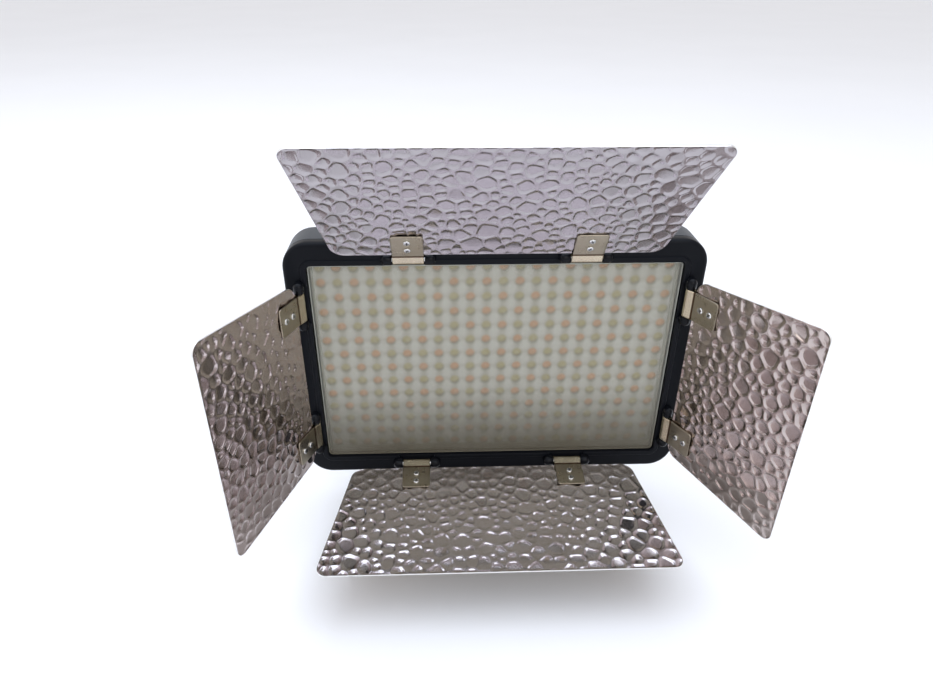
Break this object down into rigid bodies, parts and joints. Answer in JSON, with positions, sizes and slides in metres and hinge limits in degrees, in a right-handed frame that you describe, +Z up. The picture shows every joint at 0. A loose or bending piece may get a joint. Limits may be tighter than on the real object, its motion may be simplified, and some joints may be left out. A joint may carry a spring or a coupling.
{
  "type": "led panel light",
  "caption": "Flat rectangular LED video panel: black bezel and housing, frosted diffuser, hammered aluminium barn doors on clip hinges, rear controls and a tilting stand head.",
  "frame": {"origin": "centre of the stand socket's mouth, in the under face of the stand base", "axes": "+Z up, light shines along -Y, +X to the right of someone facing the diffuser"},
  "size_m": [0.2911, 0.1282, 0.2612],
  "materials": {
    "bezel": "black moulded plastic, satin",
    "housing": "black moulded plastic, fine texture",
    "fitting": "black moulded plastic",
    "knob": "black soft-touch plastic",
    "diffuser": "frosted translucent acrylic",
    "board": "white solder mask",
    "hammered": "hammered bright sheet, outside painted black",
    "clip": "bright nickel plate, champagne tone",
    "steel": "zinc plated",
    "screen_can": "dark plated can",
    "screen": "smoked clear window",
    "contacts": "black block with metal blades",
    "catch": "dark grey plastic",
    "brass": "turned brass",
    "alloy": "black anodised alloy"
  },
  "bodies": {
    "base": {"stand_base": "alloy", "tilt_bolt": "steel"},
    "panel": {"tilt_arm": "alloy", "thread_bush": "brass", "front_bezel": "bezel", "rear_housing": "housing", "diffuser": "diffuser", "led_board": "board", "control_board": "board", "screen_module": "screen_can", "screen_window": "screen", "dc_jack": "fitting", "battery_plate": "fitting", "battery_contacts": "contacts", "hinge_pin_top_1": "steel", "hinge_pin_top_2": "steel", "hinge_pin_bottom_1": "steel", "hinge_pin_bottom_2": "steel", "hinge_pin_left_1": "steel", "hinge_pin_left_2": "steel", "hinge_pin_right_1": "steel", "hinge_pin_right_2": "steel"},
    "tilt_knob": {"tilt_knob": "fitting"},
    "lock_wheel": {"lock_wheel": "alloy"},
    "knob_brightness": {"knob_brightness": "knob"},
    "knob_colour": {"knob_colour": "knob"},
    "switch_rocker": {"switch_rocker": "fitting"},
    "button_mode": {"button_mode": "knob"},
    "button_light": {"button_light": "knob"},
    "battery_latch": {"battery_latch": "catch"},
    "door_top": {"door_top": "hammered", "clip_top_1": "clip", "clip_top_2": "clip", "clip_screw_top_1_1": "steel", "clip_screw_top_1_2": "steel", "clip_screw_top_2_1": "steel", "clip_screw_top_2_2": "steel"},
    "door_bottom": {"door_bottom": "hammered", "clip_bottom_1": "clip", "clip_bottom_2": "clip", "clip_screw_bottom_1_1": "steel", "clip_screw_bottom_1_2": "steel", "clip_screw_bottom_2_1": "steel", "clip_screw_bottom_2_2": "steel"},
    "door_left": {"door_left": "hammered", "clip_left_1": "clip", "clip_left_2": "clip", "clip_screw_left_1_1": "steel", "clip_screw_left_1_2": "steel", "clip_screw_left_2_1": "steel", "clip_screw_left_2_2": "steel"},
    "door_right": {"door_right": "hammered", "clip_right_1": "clip", "clip_right_2": "clip", "clip_screw_right_1_1": "steel", "clip_screw_right_1_2": "steel", "clip_screw_right_2_1": "steel", "clip_screw_right_2_2": "steel"}
  },
  "joints": [
    {"name": "tilt", "type": "hinge", "parent": "base", "child": "panel", "pos_m": [0, 0, 0.022], "axis": [1, 0, 0], "range_deg": [-75, 75]},
    {"name": "tilt_lock", "type": "hinge", "parent": "base", "child": "tilt_knob", "pos_m": [0, 0, 0.022], "axis": [1, 0, 0], "continuous": true},
    {"name": "lock_wheel_turn", "type": "hinge", "parent": "panel", "child": "lock_wheel", "pos_m": [0, 0, 0.0349], "axis": [0, 0, 1], "continuous": true},
    {"name": "top_door_swing", "type": "hinge", "parent": "panel", "child": "door_top", "pos_m": [0, -0.02, 0.1892], "axis": [1, 0, 0], "range_deg": [-32.5, 130.5]},
    {"name": "bottom_door_swing", "type": "hinge", "parent": "panel", "child": "door_bottom", "pos_m": [0, -0.02, 0.0482], "axis": [-1, 0, 0], "range_deg": [-85, 66]},
    {"name": "left_door_swing", "type": "hinge", "parent": "panel", "child": "door_left", "pos_m": [-0.109, -0.02, 0.1187], "axis": [0, 0, 1], "range_deg": [-68, 112.5]},
    {"name": "right_door_swing", "type": "hinge", "parent": "panel", "child": "door_right", "pos_m": [0.109, -0.02, 0.1187], "axis": [0, 0, -1], "range_deg": [-63, 117.5]},
    {"name": "brightness_turn", "type": "hinge", "parent": "panel", "child": "knob_brightness", "pos_m": [-0.044, 0.013, 0.1657], "axis": [0, 1, 0], "continuous": true},
    {"name": "colour_turn", "type": "hinge", "parent": "panel", "child": "knob_colour", "pos_m": [0.044, 0.013, 0.1657], "axis": [0, 1, 0], "continuous": true},
    {"name": "power_rock", "type": "hinge", "parent": "panel", "child": "switch_rocker", "pos_m": [-0.078, 0.013, 0.0737], "axis": [1, 0, 0], "range_deg": [0, 18]},
    {"name": "mode_press", "type": "slide", "parent": "panel", "child": "button_mode", "axis": [0, -1, 0], "range_m": [0, 0.0008], "stiffness_N_per_m": 900, "springref_m": -0.0006},
    {"name": "light_press", "type": "slide", "parent": "panel", "child": "button_light", "axis": [0, -1, 0], "range_m": [0, 0.0008], "stiffness_N_per_m": 900, "springref_m": -0.0006},
    {"name": "latch_slide", "type": "slide", "parent": "panel", "child": "battery_latch", "axis": [0, 0, -1], "range_m": [0, 0.003], "stiffness_N_per_m": 400, "springref_m": -0.001}
  ]
}
